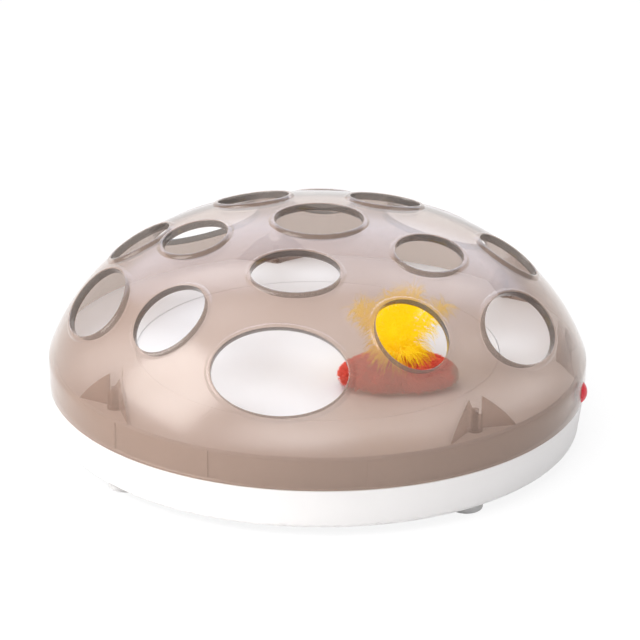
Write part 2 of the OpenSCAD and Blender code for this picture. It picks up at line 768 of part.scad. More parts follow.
module cover_screws() {
    color(steel) for (az = post_az) at_azimuth(az, post_ring_r) translate([0, 0, cover_screw_seat_z])
        screw_up(cover_screw_r, deck_top + 9 - cover_screw_seat_z, column_r - 1.6, 2.2);
}

// The door lies in the recess of the base's floor, with a lip round the cells' opening
module battery_door() {
    color(ivory) difference() {
        union() {
            translate([bay_x - door_w / 2, -door_len / 2, ground_gap]) cube([door_w, door_len, door_t]);
            translate([bay_x, 0, ground_gap + door_t - eps]) for (x = [-1, 0, 1])
                translate([x * cell_pitch - 5, -bay_len / 2 + 6, 0])
                    cube([10, bay_len - 12, floor_t - door_t + 0.1]);
        }
        for (side = [-1, 1]) translate([bay_x, side * door_screw_y, ground_gap - 1]) {
            cylinder(h = 4, r = box_screw_r + 0.1);
            cylinder(h = door_head_sink + 1, r = 2.6);
        }
        for (i = [-2:2]) translate([bay_x - 12, i * 3 + 22, ground_gap - 1]) cube([24, 1, 1.4]);
    }
}

module door_screws() {
    color(steel) for (side = [-1, 1])
        translate([bay_x, side * door_screw_y, ground_gap + door_head_sink])
            screw_up(box_screw_r - 0.22, 8, 2.4, 1.6);
}

// An AA cell along Y, with its cap towards +Y or -Y
module battery_cell(i) {
    cap_dir = i == 1 ? -1 : 1;
    body_len = cell_len - 1.2;
    label_w = 34;
    translate([bay_x + (i - 1) * cell_pitch, cell_start(i), cell_z])
        rotate([-90 * cap_dir, 0, 0]) {
            color("silver") cylinder(h = body_len, r = cell_d / 2 - 0.15);
            color("darkgreen") translate([0, 0, 5]) cylinder(h = label_w, r = cell_d / 2);
            color("silver") translate([0, 0, body_len - eps]) cylinder(h = 1.2 + eps, r = 2.75);
        }
}

// The flat end stands a spring's length off its wall, and the cap reaches the far plate
function cell_start(i) = (i == 1 ? 1 : -1) * (bay_len / 2 - plate_t - 0.2 - spring_len - 0.15);

module contact_plates() {
    color(steel) for (end = [-1, 1]) translate([bay_x, end * (bay_len / 2 - plate_t / 2 - 0.1), cell_z]) {
        cube_at([cell_pitch + 11, plate_t, 11], -end * cell_pitch / 2);
        cube_at([11, plate_t, 11], end * cell_pitch);
    }
    color(steel) for (end = [-1, 1])
        translate([bay_x + end * cell_pitch - 1.5, end > 0 ? bay_len / 2 - 0.2 : -bay_len / 2 - 2.4, tab_z])
            cube([3, 2.6, tab_t]);
}

module cube_at(size, x) {
    translate([x, 0, 0]) cube(size, center = true);
}

// A tube swept along points, with flat ends
function direction(v) = v / norm(v);
function path_turn(path, i) =
    direction(path[min(i + 1, len(path) - 1)] - path[max(i - 1, 0)]);
function path_side(path, i) =
    let(t = path_turn(path, i)) direction(cross(t, abs(t.z) < 0.8 ? [0, 0, 1] : [1, 0, 0]));

module tube(path, r, sides) {
    n = len(path);
    points = [for (i = [0:n - 1], k = [0:sides - 1])
        let(u = path_side(path, i), v = cross(u, path_turn(path, i)), a = 360 * k / sides)
        path[i] + r * (cos(a) * u + sin(a) * v)];
    walls = [for (i = [0:n - 2], k = [0:sides - 1])
        let(a = i * sides + k, b = i * sides + (k + 1) % sides)
        each [[a, b, b + sides], [a, b + sides, a + sides]]];
    ends = [
        [for (k = [sides - 1:-1:0]) k],
        [for (k = [0:sides - 1]) (n - 1) * sides + k]
    ];
    polyhedron(points, concat(walls, ends));
}

// A spring with closed ends, from a wall plate towards the cell's flat end
module contact_springs() {
    turns = 4;
    steps = 10;
    wire_r = 0.35;
    rise = spring_len - 2 * wire_r;
    coil = [for (i = [0:turns * steps]) let(a = 360 * i / steps, h = i / (turns * steps))
        [(4.2 - 1.6 * h) * cos(a), (4.2 - 1.6 * h) * sin(a), wire_r + rise * h]];
    color(steel) for (i = [0:2])
        translate([bay_x + (i - 1) * cell_pitch, (i == 1 ? 1 : -1) * (bay_len / 2 - plate_t - 0.2), cell_z])
            rotate([i == 1 ? 90 : -90, 0, 0]) tube(coil, wire_r, 6);
}

// The board stands behind the button, with its parts facing inwards
module circuit_board() {
    color("seagreen") at_azimuth(button_az) {
        translate([-board_w / 2, -board_face, floor_z + fit_gap])
            cube([board_w, board_t, board_top_z - floor_z - fit_gap]);
        translate([-3, -board_face + board_t - eps, 20]) cube([8, 1.6, 5]);
        translate([7, 0, 0]) radial_rod(board_face - board_t - 7, board_face - board_t + eps, 2.5, 23);
        for (x = [-8, -4, 2, 6]) translate([x - 1, -board_face + board_t - eps, 15]) cube([2, 0.8, 1.2]);
    }
}

module power_switch() {
    color([0.15, 0.15, 0.16]) at_azimuth(button_az) difference() {
        union() {
            translate([-switch_w / 2, -board_face - switch_t, button_z - switch_w / 2])
                cube([switch_w, switch_t, switch_w]);
            radial_rod(board_face + switch_t - eps, board_face + switch_t + 0.5, 2.4, button_z);
        }
        radial_rod(board_face + 0.6, board_face + switch_t + 2, plunger_r + run_gap, button_z);
    }
}

module switch_plunger() {
    color("dimgray") at_azimuth(button_az)
        radial_rod(board_face + 0.6 + button_travel + 0.1, plunger_tip, plunger_r, button_z);
}

// The button: domed cap in the skirt's slot, neck in the ring's slot, collar behind it, and finger
module power_button() {
    cap_low = ring_r + button_travel + fit_gap;
    cap_r = (button_r * button_r + button_out * button_out) / (2 * button_out);
    color("crimson") at_azimuth(button_az) {
        intersection() {
            translate([0, -(skirt_r + button_out - cap_r), button_z]) sphere(cap_r);
            radial_rod(cap_low, skirt_r + button_out + 1, button_r, button_z);
        }
        radial_rod(flange_face - 0.6, cap_low + 0.5, neck_r, button_z);
        radial_rod(flange_face - 1.2, flange_face, flange_r, button_z);
        radial_rod(plunger_tip, flange_face - 1.2 + eps, 2.4, button_z);
    }
}

module lead(route, colour) {
    color(colour) tube(route, 0.75, 8);
}

// A rubber foot with a rounded lower edge
module foot(i) {
    edge = 1;
    color([0.8, 0.8, 0.81]) at_azimuth(foot_az[i], foot_ring_r) rotate_extrude() {
        square([foot_r - edge, ground_gap + foot_recess]);
        translate([0, edge]) square([foot_r, ground_gap + foot_recess - edge]);
        translate([foot_r - edge, edge]) circle(edge);
    }
}

base_tray();
deck();
dome_cover();
turntable();
lure_plug();
lure_pad();
lure_feathers();
output_gear();
second_gear();
first_gear();
motor_pinion();
motor_shaft();
motor();
gearbox_housing();
gearbox_cover();
gear_pins();
gearbox_screws();
cover_screws();
battery_door();
door_screws();
battery_cell(0);  // battery_cell_1
battery_cell(1);  // battery_cell_2
battery_cell(2);  // battery_cell_3
contact_springs();
contact_plates();
circuit_board();
power_switch();
switch_plunger();
power_button();
lead(red_battery_route, "firebrick");  // battery_lead_red
lead(black_battery_route, "black");  // battery_lead_black
lead(red_motor_route, "firebrick");  // motor_lead_red
lead(black_motor_route, "black");  // motor_lead_black
foot(0);  // foot_front_right
foot(1);  // foot_back_right
foot(2);  // foot_back_left
foot(3);  // foot_front_left
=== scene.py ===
import bpy
import bmesh
import random
from math import acos, asin, atan2, cos, hypot, pi, radians, sin
from mathutils import Matrix, Vector
from mathutils import noise as meshNoise


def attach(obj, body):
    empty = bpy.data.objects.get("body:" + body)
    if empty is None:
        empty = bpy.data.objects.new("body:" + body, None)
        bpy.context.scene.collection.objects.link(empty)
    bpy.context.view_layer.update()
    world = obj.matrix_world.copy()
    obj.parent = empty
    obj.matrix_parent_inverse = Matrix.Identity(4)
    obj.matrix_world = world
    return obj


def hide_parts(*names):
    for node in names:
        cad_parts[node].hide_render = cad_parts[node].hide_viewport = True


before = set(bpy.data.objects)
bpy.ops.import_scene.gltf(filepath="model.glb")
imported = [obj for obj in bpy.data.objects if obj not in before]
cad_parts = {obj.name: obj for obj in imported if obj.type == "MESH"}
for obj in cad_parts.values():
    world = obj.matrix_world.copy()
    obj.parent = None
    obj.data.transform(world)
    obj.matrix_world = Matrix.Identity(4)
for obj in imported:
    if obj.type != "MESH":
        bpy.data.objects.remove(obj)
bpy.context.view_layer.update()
mm = 0.001
print("frame loaded")


# Shader maths: a socket that takes part in Python expressions
class Field:
    def __init__(self, tree, socket):
        self.tree = tree
        self.socket = socket

    def sum(self, operation, *values, clamp=False):
        node = self.tree.nodes.new("ShaderNodeMath")
        node.operation = operation
        node.use_clamp = clamp
        for place, value in zip(node.inputs, values):
            feed(self.tree, place, value)
        return Field(self.tree, node.outputs[0])

    def __add__(self, other):
        return self.sum("ADD", self, other)

    __radd__ = __add__

    def __sub__(self, other):
        return self.sum("SUBTRACT", self, other)

    def __rsub__(self, other):
        return self.sum("SUBTRACT", other, self)

    def __mul__(self, other):
        return self.sum("MULTIPLY", self, other)

    __rmul__ = __mul__

    def __truediv__(self, other):
        return self.sum("DIVIDE", self, other)

    def __pow__(self, other):
        return self.sum("POWER", self, other)

    def __lt__(self, other):
        return self.sum("LESS_THAN", self, other)

    def __gt__(self, other):
        return self.sum("GREATER_THAN", self, other)

    def held(self):
        return self.sum("ADD", self, 0.0, clamp=True)


def feed(tree, place, value):
    if isinstance(value, Field):
        tree.links.new(value.socket, place)
    elif place.type == "RGBA" and len(value) == 3:
        place.default_value = (*value, 1)
    else:
        place.default_value = value


# One material, or the world, in the making
class Finish:
    def __init__(self, name, world=False):
        self.owner = (bpy.data.worlds if world else bpy.data.materials).new(name)
        self.owner.use_nodes = True
        self.tree = self.owner.node_tree
        self.tree.nodes.clear()
        self.place = self.add("ShaderNodeTexCoord", out="Object")

    def add(self, kind, settings=None, sockets=None, out=0):
        node = self.tree.nodes.new(kind)
        for name, value in (settings or {}).items():
            setattr(node, name, value)
        for name, value in (sockets or {}).items():
            feed(self.tree, node.inputs[name], value)
        return None if out is None else Field(self.tree, node.outputs[out])

    def noise(self, scale, detail=3, stretch=(1, 1, 1)):
        along = self.place
        if stretch != (1, 1, 1):
            along = self.add("ShaderNodeMapping", sockets={"Vector": self.place, "Scale": stretch})
        return self.add("ShaderNodeTexNoise", sockets={"Vector": along, "Scale": scale, "Detail": detail})

    def blendColour(self, share, first, second):
        return self.add("ShaderNodeMix", {"data_type": "RGBA"}, {0: share, 6: first, 7: second}, out=2)

    def axes(self):
        split = self.add("ShaderNodeSeparateXYZ", sockets={"Vector": self.place})
        node = split.socket.node
        return [Field(self.tree, node.outputs[i]) for i in range(3)]

    def bump(self, height, depth, strength=1.0):
        return self.add("ShaderNodeBump", sockets={"Height": height, "Distance": depth, "Strength": strength})

    def solid(self, **sockets):
        names = {"colour": "Base Color", "roughness": "Roughness", "metal": "Metallic", "normal": "Normal",
                 "sheen": "Sheen Weight", "sheenRoughness": "Sheen Roughness",
                 "specular": "Specular IOR Level", "glow": "Emission Color", "glowStrength": "Emission Strength"}
        return self.add("ShaderNodeBsdfPrincipled",
                        sockets={names[name]: value for name, value in sockets.items()})

    def mixShader(self, share, first, second):
        return self.add("ShaderNodeMixShader", sockets={0: share, 1: first, 2: second})

    def done(self, surface):
        self.add("ShaderNodeOutputMaterial", sockets={"Surface": surface}, out=None)
        return self.owner


# Camera, at the photograph's angle
def placeCamera():
    view = {"azimuth": 9.2, "elevation": 22.13, "roll": 0.59, "distance": 1.25, "aim": (0, 0, 0.05),
            "lens": 151.2, "sensor": 36, "shiftX": 0.0031, "shiftY": 0.0034, "near": 0.01, "far": 50}
    turn, lift = radians(view["azimuth"]), radians(view["elevation"])
    back = Vector((sin(turn) * cos(lift), -cos(turn) * cos(lift), sin(lift)))
    lens = bpy.data.cameras.new("camera")
    lens.sensor_width = view["sensor"]
    lens.lens = view["lens"]
    lens.shift_x = view["shiftX"]
    lens.shift_y = view["shiftY"]
    lens.clip_start = view["near"]
    lens.clip_end = view["far"]
    camera = bpy.data.objects.new("camera", lens)
    bpy.context.scene.collection.objects.link(camera)
    aim = (-back).to_track_quat("-Z", "Y").to_matrix().to_4x4()
    camera.matrix_world = (Matrix.Translation(Vector(view["aim"]) + back * view["distance"]) @ aim
                           @ Matrix.Rotation(radians(view["roll"]), 4, "Z"))
    bpy.context.scene.camera = camera
    bpy.context.scene.view_settings.view_transform = "Standard"


# Lamps, world and floor of the white studio
def seenWhite(finish):  # 1 where the camera sees a surface straight, mirrored or through another
    camera = finish.add("ShaderNodeLightPath", out="Is Camera Ray")
    outputs = camera.socket.node.outputs
    glossy, through = [Field(finish.tree, outputs[name]) for name in ("Is Glossy Ray", "Is Transmission Ray")]
    return camera.sum("MAXIMUM", camera.sum("MAXIMUM", camera, glossy), through)


def lightStudio():
    # Hidden lamps make no highlight. The mirrored one is a pale wall behind, seen only as a reflection.
    lamps = [
        {"name": "keyLeft", "at": (-1.2, -0.6, 1.0), "size": (1.1, 1.1), "power": 21.0,
         "colour": (1.0, 0.985, 0.97)},
        {"name": "fillRight", "at": (1.3, -0.5, 0.8), "size": (0.9, 0.9), "power": 0.8,
         "colour": (0.85, 0.9, 1.0)},
        {"name": "front", "at": (-0.4, -0.8, 1.3), "size": (1.2, 1.0), "power": 17.0,
         "colour": (1, 0.99, 0.99), "hidden": True},
        {"name": "top", "at": (0.0, 0.1, 1.6), "size": (1.2, 1.0), "power": 17.0,
         "colour": (1, 0.99, 1), "hidden": True},
        {"name": "back", "at": (-0.2, 1.15, 0.95), "size": (2.4, 1.0), "power": 15.0,
         "colour": (0.62, 0.76, 1.0), "mirrored": True},
    ]
    aim = Vector((0, 0, 0.04))
    sky = {"colour": (0.98, 0.98, 1.0), "light": 0.28, "shown": 1.0}
    for lamp in lamps:
        light = bpy.data.lights.new(lamp["name"], "AREA")
        light.shape = "RECTANGLE"
        light.size, light.size_y = lamp["size"]
        light.energy = lamp["power"]
        light.color = lamp["colour"]
        holder = bpy.data.objects.new(lamp["name"], light)
        bpy.context.scene.collection.objects.link(holder)
        holder.visible_glossy = not lamp.get("hidden", False)
        holder.visible_diffuse = not lamp.get("mirrored", False)
        at = Vector(lamp["at"])
        turned = (aim - at).to_track_quat("-Z", "Y").to_matrix().to_4x4()
        holder.matrix_world = Matrix.Translation(at) @ turned
    world = Finish("studio", world=True)
    light = world.add("ShaderNodeBackground", sockets={"Color": sky["colour"], "Strength": sky["light"]})
    shown = world.add("ShaderNodeBackground", sockets={"Color": (1, 1, 1), "Strength": sky["shown"]})
    both = world.mixShader(seenWhite(world), light, shown)
    world.add("ShaderNodeOutputWorld", sockets={"Surface": both}, out=None)
    bpy.context.scene.world = world.owner


def layFloor():
    floor = {"side": 6.0, "paper": (0.93, 0.93, 0.94), "fleck": (0.9, 0.9, 0.91), "grain": 60, "shadow": 0.12}
    shape = bmesh.new()
    bmesh.ops.create_grid(shape, x_segments=4, y_segments=4, size=floor["side"] / 2)
    piece = meshPiece("floor", shape)
    finish = Finish("floorPaper")
    tone = finish.blendColour(finish.noise(floor["grain"]), floor["paper"], floor["fleck"])
    paper = finish.solid(colour=tone, roughness=0.9)
    glow = finish.add("ShaderNodeEmission", sockets={"Color": (1, 1, 1), "Strength": 1.0})
    seen = seenWhite(finish) * (1 - floor["shadow"])
    piece.data.materials.append(finish.done(finish.mixShader(seen, paper, glow)))


# Mesh helpers
def meshPiece(name, shape):
    mesh = bpy.data.meshes.new(name)
    shape.to_mesh(mesh)
    shape.free()
    mesh.polygons.foreach_set("use_smooth", [True] * len(mesh.polygons))
    piece = bpy.data.objects.new(name, mesh)
    bpy.context.scene.collection.objects.link(piece)
    return piece


def takeShape(piece):
    view = bpy.context.evaluated_depsgraph_get()
    mesh = bpy.data.meshes.new_from_object(piece.evaluated_get(view))
    old = piece.data
    piece.modifiers.clear()
    piece.data = mesh
    bpy.data.meshes.remove(old)


def carve(piece, tool, operation):
    step = piece.modifiers.new("carve", "BOOLEAN")
    step.operation = operation
    step.solver = "MANIFOLD"
    step.object = tool
    takeShape(piece)
    bpy.data.objects.remove(tool)


# The dome's section: a crown arc and a shoulder arc, as in the CAD. Inside poleR lies only an opening.
dome = {"skirtR": 125 * mm, "skirtLow": 23 * mm, "creaseZ": 37.2 * mm, "topZ": 101.2 * mm, "crownR": 233 * mm,
        "shoulderR": 89 * mm, "wall": 2.5 * mm, "poleR": 14 * mm, "creaseGap": 0.35 * mm, "outerPoints": 84,
        "innerPoints": 80, "steps": 240}
crownZ = dome["topZ"] - dome["crownR"]
armLen = dome["crownR"] - dome["shoulderR"]
creaseArm = hypot(dome["skirtR"], dome["creaseZ"] - crownZ)
shoulderTurn = atan2(dome["skirtR"], dome["creaseZ"] - crownZ) - acos(
    (creaseArm ** 2 + armLen ** 2 - dome["shoulderR"] ** 2) / (2 * creaseArm * armLen))
shoulderX = armLen * sin(shoulderTurn)
shoulderZ = crownZ + armLen * cos(shoulderTurn)


def overDome(point):  # height of a point over the dome's outer surface, and the way out
    rho = hypot(point.x, point.y)
    lean = atan2(rho, point.z - crownZ)
    if lean < shoulderTurn:
        across, up, r = rho, point.z - crownZ, dome["crownR"]
    else:
        across, up, r = rho - shoulderX, point.z - shoulderZ, dome["shoulderR"]
    away = hypot(across, up)
    if not rho:
        return away - r, Vector((0, 0, 1))
    return away - r, Vector((point.x / rho * across / away, point.y / rho * across / away, up / away))


def domeArc(grow, fromR, toR, count):  # points of the section between two radii, crown first
    points = []
    crown, shoulder = dome["crownR"] + grow, dome["shoulderR"] + grow
    start, end = asin(fromR / crown), asin(min((toR - shoulderX) / shoulder, 1))
    for i in range(count):
        turn = start + (end - start) * i / (count - 1)
        if turn < shoulderTurn:
            points.append((crown * sin(turn), crownZ + crown * cos(turn)))
        else:
            points.append((shoulderX + shoulder * sin(turn), shoulderZ + shoulder * cos(turn)))
    return points


def spun(name, section, steps):  # turns a closed section round the dome's axis
    shape = bmesh.new()
    ring = [shape.verts.new((r, 0, z)) for r, z in section]
    edges = [shape.edges.new((ring[i - 1], ring[i])) for i in range(len(ring))]
    bmesh.ops.spin(shape, geom=ring + edges, cent=(0, 0, 0), axis=(0, 0, 1), angle=2 * pi, steps=steps,
                   use_merge=True)
    bmesh.ops.remove_doubles(shape, verts=shape.verts, dist=1e-7)
    bmesh.ops.recalc_face_normals(shape, faces=shape.faces)
    return meshPiece(name, shape)


# The openings: azimuth from the front, and in mm the distance from the axis, half width and half height
openings = {
    "low": [(0, 104, 30, 20.4), (70, 104, 26, 17.4), (155, 104, 29, 18.5), (222, 104, 29, 18.5),
            (293, 104, 26, 17)],
    "mid": [(35.5, 92.5, 16.2, 18.4), (104.5, 88.5, 16.2, 15.5), (188, 93, 16.2, 17), (268.5, 85, 16.2, 15.4),
            (324.5, 93.2, 16.2, 18.6)],
    "top": [(-2, 53, 20, 16.4), (72, 56, 19, 15), (153.5, 53.5, 16, 18), (223.5, 55.5, 16.6, 17.7),
            (286.5, 57, 19, 15.2)],
    "pole": [(0, 0, 20.4, 20.4)],
}


def openingFrame(azimuth, r):
    turn = radians(azimuth)
    if r * mm < dome["crownR"] * sin(shoulderTurn):
        z = crownZ + (dome["crownR"] ** 2 - (r * mm) ** 2) ** 0.5
        slope = asin(r * mm / dome["crownR"])
    else:
        z = shoulderZ + (dome["shoulderR"] ** 2 - (r * mm - shoulderX) ** 2) ** 0.5
        slope = asin((r * mm - shoulderX) / dome["shoulderR"])
    return Matrix.Rotation(turn, 4, "Z") @ Matrix.Translation((0, -r * mm, z)) @ Matrix.Rotation(slope, 4, "X")


def overOpening(place, x, y, height):  # from an opening's plane straight out to a height over the dome
    rounds, leastSlope = 5, 0.3
    out = place.to_3x3() @ Vector((0, 0, 1))
    point = place @ Vector((x, y, 0))
    for _ in range(rounds):
        off, way = overDome(point)
        point += out * ((height - off) / max(way.dot(out), leastSlope))
    return point


def openingTools():  # the cuts, whose edges end inside the beads
    tool = {"past": 1.3, "around": 120, "deep": 24 * mm}
    shape = bmesh.new()
    for row in openings.values():
        for azimuth, r, halfW, halfH in row:
            oval = Matrix.Diagonal(((halfW + tool["past"]) * mm, (halfH + tool["past"]) * mm, 1, 1))
            bmesh.ops.create_cone(shape, cap_ends=True, segments=tool["around"], radius1=1, radius2=1,
                                  depth=tool["deep"], matrix=openingFrame(azimuth, r) @ oval)
    return meshPiece("openingTools", shape)


# A moulded bead round each opening, which is the opening's wall as well. Its section is a closed row of points,
# in mm out from the opening's edge and up from the dome.
def openingBeads():
    bead = {"around": 132, "section": [
        (0.0, -2.3), (0.0, -1.2), (0.0, 0.0), (0.02, 0.6), (0.14, 0.92), (0.4, 1.12), (0.85, 1.2), (1.4, 1.16),
        (1.95, 0.98), (2.4, 0.66), (2.7, 0.3), (2.95, -0.08), (2.95, -0.6), (2.2, -1.3), (2.1, -2.2),
        (1.9, -2.58), (1.1, -2.64), (0.25, -2.6)]}
    shape = bmesh.new()
    for row in openings.values():
        for azimuth, r, halfW, halfH in row:
            place = openingFrame(azimuth, r)
            circle = bmesh.ops.create_circle(shape, segments=bead["around"], radius=1)["verts"]
            turnOf = {v: atan2(v.co.y, v.co.x) for v in circle}
            edges = firstEdges = list({e for v in circle for e in v.link_edges})
            for step, (out, height) in enumerate(bead["section"]):
                if step:
                    made = bmesh.ops.extrude_edge_only(shape, edges=edges)["geom"]
                    fresh = {g for g in made if isinstance(g, bmesh.types.BMVert)}
                    edges = [g for g in made
                             if isinstance(g, bmesh.types.BMEdge) and fresh.issuperset(g.verts)]
                    turnOf = {v: turnOf[e.other_vert(v)] for v in fresh for e in v.link_edges
                              if e.other_vert(v) in turnOf}
                for v, turn in turnOf.items():
                    v.co = overOpening(place, (halfW + out) * mm * cos(turn), (halfH + out) * mm * sin(turn),
                                       height * mm)
            bmesh.ops.bridge_loops(shape, edges=edges + firstEdges)
    bmesh.ops.recalc_face_normals(shape, faces=shape.faces)
    return meshPiece("openingBeads", shape)


def azimuthFrame(azimuth, r):
    return Matrix.Rotation(radians(azimuth), 4, "Z") @ Matrix.Translation((0, -r, 0))


# Screw posts with two wings each, up to the dome, and the bores in them
post = {"azimuths": [46, 92.5, 136, 200, 318], "ring": 114.5 * mm, "r": 3.6 * mm, "around": 48,
        "low": 37.4 * mm, "high": 84 * mm, "wing": 1.3 * mm, "wingLen": 24 * mm, "turn": 67,
        "boreR": 1.6 * mm, "boreDeep": 11 * mm, "boreZ": 41.9 * mm, "boreAround": 24}


def coverPosts():
    # What fits under the dome: a spun solid whose top lies in the wall
    trim = {"in": 0.6, "poleR": 0.1 * mm, "r": 124.4 * mm, "points": 70, "below": 4 * mm, "steps": 120}
    wingTrim = 0.02 * mm  # so that no end face of a wing lies in an end face of its post
    middle = (post["low"] + post["high"]) / 2
    tall = post["high"] - post["low"]
    parts = []
    for side in (0, -1, 1):
        shape = bmesh.new()
        for azimuth in post["azimuths"]:
            place = azimuthFrame(azimuth, post["ring"]) @ Matrix.Translation((0, 0, middle))
            if not side:
                bmesh.ops.create_cone(shape, cap_ends=True, segments=post["around"], radius1=post["r"],
                                      radius2=post["r"], depth=tall, matrix=place)
            else:
                wing = (place @ Matrix.Translation((0, post["r"] - post["wing"], 0))
                        @ Matrix.Rotation(radians(-90 + side * post["turn"]), 4, "Z")
                        @ Matrix.Translation((post["wingLen"] / 2, 0, 0))
                        @ Matrix.Diagonal((post["wingLen"], post["wing"], tall - wingTrim, 1)))
                bmesh.ops.create_cube(shape, size=1, matrix=wing)
        parts.append(meshPiece("posts", shape))
    carve(parts[0], parts[1], "UNION")
    carve(parts[0], parts[2], "UNION")
    inside = domeArc(-dome["wall"] * trim["in"], trim["poleR"], trim["r"], trim["points"])
    low = post["low"] - trim["below"]
    section = [(0.0, low), (0.0, inside[0][1])] + inside[1:] + [(inside[-1][0], low)]
    carve(parts[0], spun("inside", section, trim["steps"]), "INTERSECT")
    return parts[0]


def coverBores():  # the screws' bores, and the button's slot, open below so that the cover drops over it
    slot = {"azimuth": 86, "ring": 123 * mm, "z": 28.2 * mm, "r": 4.9 * mm, "deep": 9 * mm, "down": 8 * mm,
            "around": 64}
    shape = bmesh.new()
    for azimuth in post["azimuths"]:
        place = azimuthFrame(azimuth, post["ring"]) @ Matrix.Translation((0, 0, post["boreZ"]))
        bmesh.ops.create_cone(shape, cap_ends=True, segments=post["boreAround"], radius1=post["boreR"],
                              radius2=post["boreR"], depth=post["boreDeep"], matrix=place)
    verts = bmesh.ops.create_cone(shape, cap_ends=True, segments=slot["around"], radius1=slot["r"],
                                  radius2=slot["r"], depth=slot["deep"])["verts"]
    lower = [v for v in verts if v.co.y < -0.01 * mm]
    bmesh.ops.translate(shape, verts=lower, vec=(0, -slot["down"], 0))
    place = azimuthFrame(slot["azimuth"], slot["ring"]) @ Matrix.Translation((0, 0, slot["z"]))
    bmesh.ops.transform(shape, verts=verts, matrix=place @ Matrix.Rotation(radians(90), 4, "X"))
    return meshPiece("bores", shape)


def makeDome():
    outer = domeArc(0, dome["poleR"], dome["skirtR"] - dome["creaseGap"], dome["outerPoints"])
    inner = domeArc(-dome["wall"], dome["poleR"], dome["skirtR"] - dome["wall"], dome["innerPoints"])
    # The skirt's section, in mm: steps in from its outside or inside, and up from the crease or the lower edge
    crease = [(0.12, -0.05), (0, -0.9), (0, -4)]
    outside = [(0, 5), (0, 0.6), (0.2, 0.15), (0.6, 0)]
    inside = [(0.5, 0), (0, 0.5), (0, 6)]
    r, low = dome["skirtR"], dome["skirtLow"]
    skirt = ([(r - x * mm, dome["creaseZ"] + z * mm) for x, z in crease]
             + [(r - x * mm, low + z * mm) for x, z in outside]
             + [(r - dome["wall"] + x * mm, low + z * mm) for x, z in inside])
    shell = spun("dome_shell", outer + skirt + inner[::-1], dome["steps"])
    carve(shell, openingTools(), "DIFFERENCE")
    carve(shell, openingBeads(), "UNION")
    carve(shell, coverPosts(), "UNION")
    carve(shell, coverBores(), "DIFFERENCE")
    shell.data.materials.clear()
    # The second finish, on the openings' walls: a darker see-through for the longer path through the wall, and a
    # dark grey haze that is painted shade
    for name, passed, milk, milkColour, roughness in (
            ("smokedSheet", (0.76, 0.71, 0.677), 0.12, (0.62, 0.41, 0.31), 0.19),
            ("smokedEdgePaintedShade", (0.3, 0.282, 0.268), 0.2, (0.2, 0.18, 0.17), 0.15)):
        shell.data.materials.append(smokedPlastic(name, passed, milk, milkColour, roughness))
    shadeDome(shell.data)
    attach(shell, "base")
    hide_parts("dome_cover")
    print("dome made,", len(shell.data.polygons), "faces")


def shadeDome(mesh):  # true normals on the two big surfaces, and the openings' walls in the denser, darker finish, whose dark grey haze is painted shade
    near, flat, steep, sharp = 0.03 * mm, 0.98, 0.5, radians(38)
    wallLow, wallHigh, wallFoot = -2.75 * mm, 1.1 * mm, 40 * mm
    creaseTop = dome["creaseZ"] + 0.3 * mm
    mesh.polygons.foreach_set("use_smooth", [True] * len(mesh.polygons))
    mesh.set_sharp_from_angle(angle=sharp)
    normals = [Vector(n.vector) for n in mesh.corner_normals]
    heights = [overDome(v.co) for v in mesh.vertices]
    for face in mesh.polygons:
        middle, way = overDome(face.center)
        cut = abs(face.normal.dot(way)) < steep and wallLow < middle < wallHigh and face.center.z > wallFoot
        face.material_index = 1 if cut else 0
        if face.center.z < creaseTop:
            continue
        for loop in face.loop_indices:
            high, out = heights[mesh.loops[loop].vertex_index]
            if abs(high) < near and face.normal.dot(out) > flat:
                normals[loop] = out
            elif abs(high + dome["wall"]) < near and face.normal.dot(out) < -flat:
                normals[loop] = -out
    mesh.normals_split_custom_set(normals)


def dimmed(colour, share):
    return [c * share for c in colour]


# Smoked polycarbonate: a nearly neutral see-through body, a milky brown share and a glossy skin
def smokedPlastic(name, passed, milk, milkColour, roughness):
    finish = Finish(name)
    cloud = finish.noise(14, 2)
    ripple = finish.noise(55, 2)
    normal = finish.bump(ripple, 0.0006, 0.05)
    body = finish.add("ShaderNodeBsdfTransparent", sockets={"Color": passed})
    haze = finish.solid(colour=finish.blendColour(cloud, milkColour, dimmed(milkColour, 0.86)), roughness=0.5,
                        specular=0.0, normal=normal)
    skin = finish.add("ShaderNodeBsdfGlossy", sockets={
        "Color": (1, 1, 1), "Roughness": roughness + 0.05 * finish.noise(120, 2), "Normal": normal})
    facing = finish.add("ShaderNodeLayerWeight", sockets={"Blend": 0.5, "Normal": normal}, out="Facing")
    gloss = 0.04 + 0.96 * facing ** 5  # Schlick's formula, the same on both sides of a wall
    inside = finish.mixShader(milk + 0.03 * cloud, body, haze)
    return finish.done(finish.mixShader(gloss, inside, skin))


def mouldedPlastic(name, colour, roughness=0.36, through=0.0):
    grain, shade = 0.12 * mm, 0.94
    finish = Finish(name)
    cloud = finish.noise(30, 3)
    fine = finish.noise(900, 2)
    flow = finish.noise(7, 2, stretch=(1, 1, 3))
    tone = finish.blendColour(cloud * 0.6 + flow * 0.4, colour, dimmed(colour, shade))
    body = finish.solid(colour=tone, roughness=roughness + 0.14 * (fine - 0.5) + 0.1 * (flow - 0.5),
                        normal=finish.bump(fine, grain, 0.35))
    if through:  # thin pale plastic lets some light into the hollow behind it
        glow = finish.add("ShaderNodeBsdfTranslucent", sockets={"Color": colour})
        body = finish.mixShader(through, body, glow)
    return finish.done(body)


def metal(name, colour, roughness=0.25):
    finish = Finish(name)
    brushed = finish.noise(260, 3, stretch=(1, 1, 14))
    stain = finish.noise(24, 4)
    tone = finish.blendColour(stain, colour, dimmed(colour, 0.82))
    return finish.done(finish.solid(colour=tone, metal=1.0,
                                    roughness=roughness + 0.16 * (brushed - 0.5) + 0.1 * stain,
                                    normal=finish.bump(brushed, 0.05 * mm, 0.3)))


